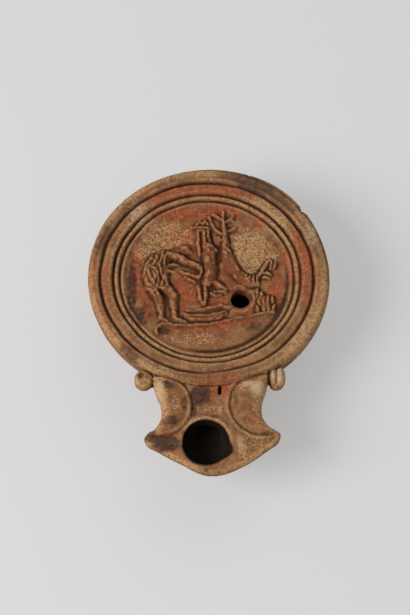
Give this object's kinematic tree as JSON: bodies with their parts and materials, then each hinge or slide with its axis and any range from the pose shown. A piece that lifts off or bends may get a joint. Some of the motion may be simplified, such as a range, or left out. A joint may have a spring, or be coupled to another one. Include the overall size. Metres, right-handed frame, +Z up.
{
  "type": "oil lamp",
  "caption": "Round fired-clay oil lamp with a sunken picture disc in relief, ringed by grooves, and a wick nozzle flanked by volutes.",
  "frame": {"origin": "middle of the flat base, on the axis of the disc's grooves", "axes": "+Z up from the base to the disc, -Y along the nozzle, +X to the right seen from the nozzle"},
  "size_m": [0.0752, 0.1034, 0.0271],
  "materials": {
    "clay": "worn matte slip over fired clay"
  },
  "bodies": {
    "root": {"lamp": "clay"}
  },
  "joints": []
}
